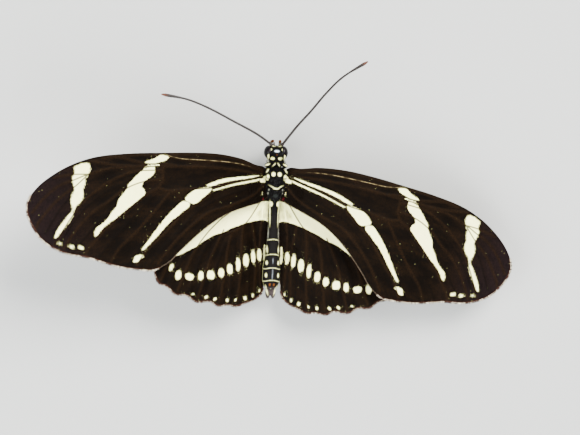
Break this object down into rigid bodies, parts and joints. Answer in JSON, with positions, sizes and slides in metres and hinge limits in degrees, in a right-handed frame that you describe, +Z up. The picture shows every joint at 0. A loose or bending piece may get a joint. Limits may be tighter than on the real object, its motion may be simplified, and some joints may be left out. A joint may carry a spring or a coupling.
{
  "type": "zebra longwing butterfly",
  "caption": "Life-size still butterfly with long narrow banded wings spread open, slender abdomen, clubbed antennae and legs that stand on the floor.",
  "frame": {"origin": "middle of the whole model's box at floor level, under the feet", "axes": "+X towards the butterfly's own left wing tip, +Y towards the tip of the abdomen, +Z up; the head points to -Y"},
  "size_m": [0.0868, 0.045, 0.0188],
  "materials": {
    "wing": "matte wing scales, near black with pale greenish cream bands and spots",
    "body": "short black fur and scales with cream spots",
    "eye": "glossy purplish black compound eye",
    "leg": "dark brown chitin with fine scales",
    "palp": "orange brown and cream bristle scales"
  },
  "bodies": {
    "root": {"abdomen": "body", "antenna_left": "leg", "antenna_right": "leg", "clasper_left": "body", "clasper_right": "body", "eye_left": "eye", "eye_right": "eye", "foreleg_left": "leg", "foreleg_right": "leg", "forewing_left": "wing", "forewing_right": "wing", "head": "body", "hindleg_left": "leg", "hindleg_right": "leg", "hindwing_left": "wing", "hindwing_right": "wing", "midleg_left": "leg", "midleg_right": "leg", "palp_left": "palp", "palp_right": "palp", "proboscis": "leg", "prothorax": "body", "thorax": "body"}
  },
  "joints": []
}
